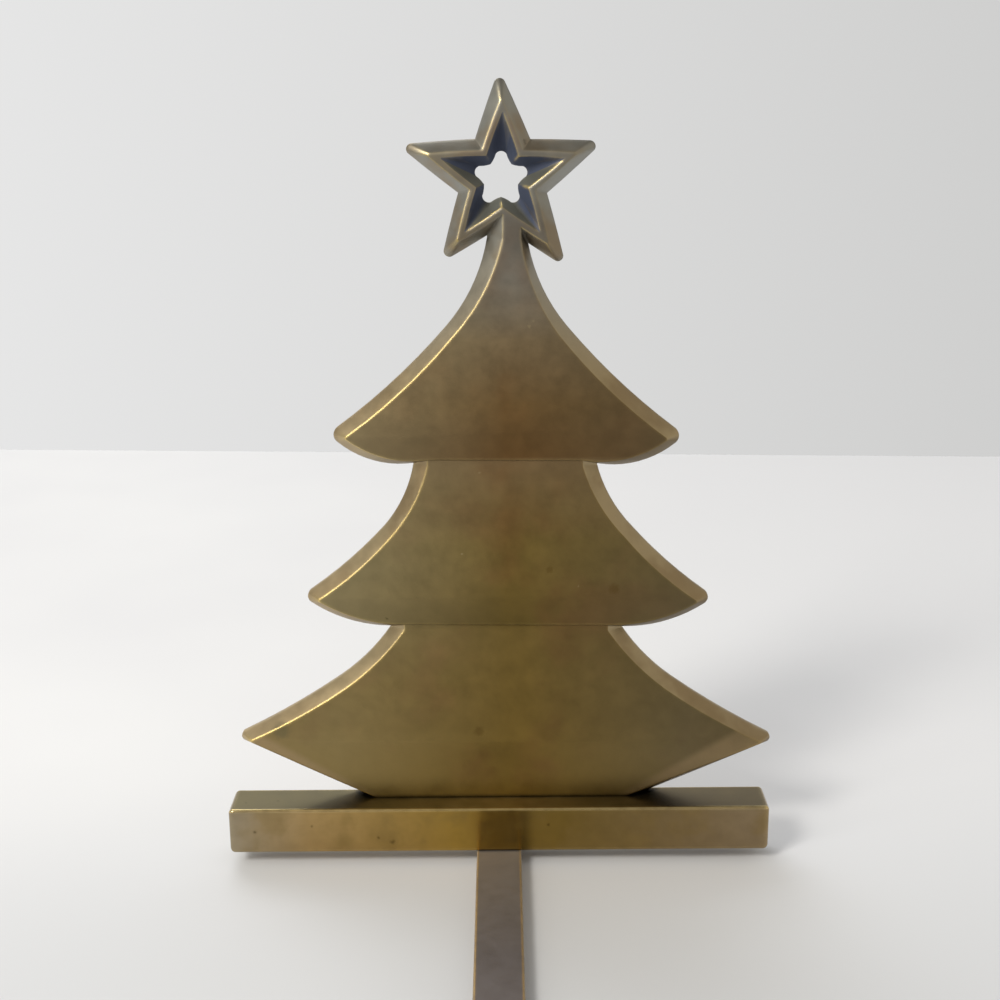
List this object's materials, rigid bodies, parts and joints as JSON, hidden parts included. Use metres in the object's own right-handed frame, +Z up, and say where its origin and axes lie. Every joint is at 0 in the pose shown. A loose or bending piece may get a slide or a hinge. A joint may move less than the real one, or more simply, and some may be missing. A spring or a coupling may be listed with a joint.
{
  "type": "mantel stocking holder",
  "caption": "Brass holder for a hanging stocking: a bevelled, tiered tree with a hollow star on a square bar, with a long flat arm that lies on the mantel and ends in a hook.",
  "frame": {"origin": "on the underside of the arm, in line with the front face of the bar and midway along the bar", "axes": "+Z up out of the mantel, the tree's face and the hook towards -Y, +X to the right seen from the front"},
  "size_m": [0.1167, 0.1148, 0.1964],
  "materials": {
    "cast_brass": "cast brass with a smoothed face and a brown-olive aged patina, worn bright along the ridges and dark in the star's hollow",
    "bar_brass": "square brass bar, aged, worn bright along the front edge",
    "arm_brass": "flat brass strip, dull grey-brown and satin, worn golden along its edges",
    "screw_brass": "turned brass, slightly dulled"
  },
  "bodies": {
    "root": {"tree_and_star": "cast_brass", "base_bar": "bar_brass", "hook_arm": "arm_brass", "arm_screw": "screw_brass", "tree_screws": "screw_brass"}
  },
  "joints": []
}
